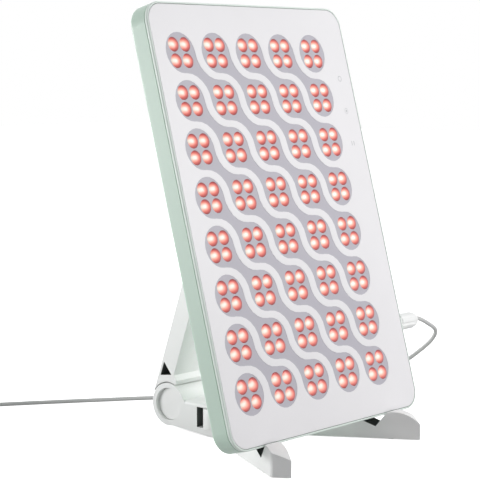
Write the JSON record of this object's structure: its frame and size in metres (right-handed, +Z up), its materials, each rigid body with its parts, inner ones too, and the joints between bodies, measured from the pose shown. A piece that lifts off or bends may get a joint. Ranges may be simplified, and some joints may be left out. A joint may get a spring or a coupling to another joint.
{
  "type": "red light therapy panel",
  "caption": "Leaning slab panel with a grid of round red light lenses, resting in the notched toes of a splayed table stand with a hinged support arm.",
  "frame": {"origin": "middle of the footprint of panel and stand, on the floor", "axes": "+X to the right as seen from the front, +Y to the back, +Z up"},
  "size_m": [0.4699, 0.4363, 0.3745],
  "materials": {
    "mint_shell": "satin moulded mint green",
    "dark_rubber": "matt dark rubber",
    "white_plate": "satin white moulding",
    "grey_reflector": "satin lilac grey",
    "red_lens": "clear red glow",
    "emitter": "yellow resin",
    "board_white": "white solder mask on metal core",
    "board_green": "green solder mask",
    "aluminium": "rolled sheet",
    "black_plastic": "matt black",
    "steel": "plated",
    "lead": "pale grey sleeve",
    "white_plastic": "satin white moulding"
  },
  "bodies": {
    "stand": {"hub_body": "white_plastic", "hub_cover": "white_plastic", "hub_screws": "steel", "left_leg": "white_plastic", "right_leg": "white_plastic", "leg_pins": "steel", "foot_pads": "dark_rubber", "hinge_axle": "steel", "left_spring": "steel", "right_spring": "steel", "cord": "lead", "cord_coil": "lead", "coil_tie": "dark_rubber", "cord_tail": "lead", "wall_adapter": "white_plastic", "adapter_pins": "steel"},
    "panel": {"rear_shell": "mint_shell", "joint_seal": "dark_rubber", "front_plate": "white_plate", "lens_carrier": "grey_reflector", "lens_row_1": "red_lens", "lens_row_2": "red_lens", "lens_row_3": "red_lens", "lens_row_4": "red_lens", "lens_row_5": "red_lens", "lens_row_6": "red_lens", "lens_row_7": "red_lens", "lens_row_8": "red_lens", "leds": "emitter", "led_board": "board_white", "heat_spreader": "aluminium", "driver_board": "board_green", "driver_parts": "black_plastic", "touch_board": "board_green", "board_screws": "steel", "case_screws": "steel", "dc_socket": "black_plastic", "dc_plug": "lead"},
    "arm": {"support_arm": "white_plastic", "arm_tip": "dark_rubber"},
    "left_button": {"left_button": "white_plastic"},
    "right_button": {"right_button": "white_plastic"}
  },
  "joints": [
    {"name": "arm_tilt", "type": "hinge", "parent": "stand", "child": "arm", "pos_m": [0, 0.08808, 0.023], "axis": [-1, 0, 0], "range_deg": [0, 10]},
    {"name": "panel_tilt", "type": "hinge", "parent": "stand", "child": "panel", "pos_m": [0, -0.06301, 0.01987], "axis": [-1, 0, 0], "range_deg": [0, 8.06]},
    {"name": "left_button_press", "type": "slide", "parent": "stand", "child": "left_button", "axis": [1, 0, 0], "range_m": [0, 0.0025], "stiffness_N_per_m": 800, "deforming": ["left_spring"]},
    {"name": "right_button_press", "type": "slide", "parent": "stand", "child": "right_button", "axis": [-1, 0, 0], "range_m": [0, 0.0025], "stiffness_N_per_m": 800, "deforming": ["right_spring"]}
  ],
  "couplings": [
    {"joint": "panel_tilt", "follows": "arm_tilt", "ratio": 0.8061}
  ]
}
